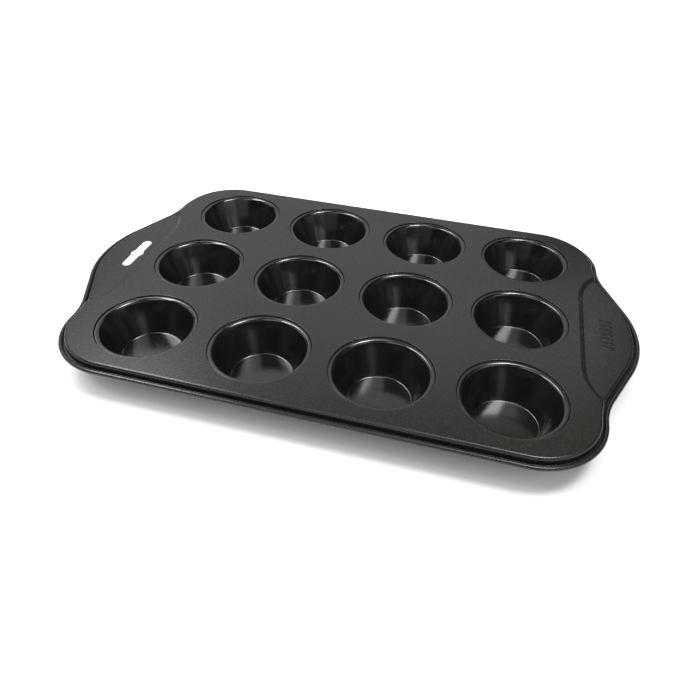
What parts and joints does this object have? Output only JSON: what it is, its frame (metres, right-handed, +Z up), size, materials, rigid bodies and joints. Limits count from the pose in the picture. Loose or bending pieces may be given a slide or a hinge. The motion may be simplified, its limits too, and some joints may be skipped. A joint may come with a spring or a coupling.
{
  "type": "muffin tin",
  "caption": "Rectangular muffin tin: deep round cups set in a coated steel deck with a wired rolled rim, two sunken end handles and a hanging slot.",
  "frame": {"origin": "under the middle of the tin, at the level of the cups' feet", "axes": "+X along the tin, from the handle with the hanging slot to the handle with the grip ribs; +Y across it; +Z up, out of the cups' mouths"},
  "size_m": [0.46, 0.295, 0.029],
  "materials": {
    "deck_coating": "satin dark grey non-stick coating with a fine speckle on pressed steel",
    "cup_coating": "semi-gloss dark grey non-stick coating on deep-drawn steel",
    "wire_steel": "plain drawn steel wire"
  },
  "bodies": {
    "root": {"deck_plate": "deck_coating", "rim_wire": "wire_steel", "cup_front_1": "cup_coating", "cup_front_2": "cup_coating", "cup_front_3": "cup_coating", "cup_front_4": "cup_coating", "cup_middle_1": "cup_coating", "cup_middle_2": "cup_coating", "cup_middle_3": "cup_coating", "cup_middle_4": "cup_coating", "cup_back_1": "cup_coating", "cup_back_2": "cup_coating", "cup_back_3": "cup_coating", "cup_back_4": "cup_coating"}
  },
  "joints": []
}
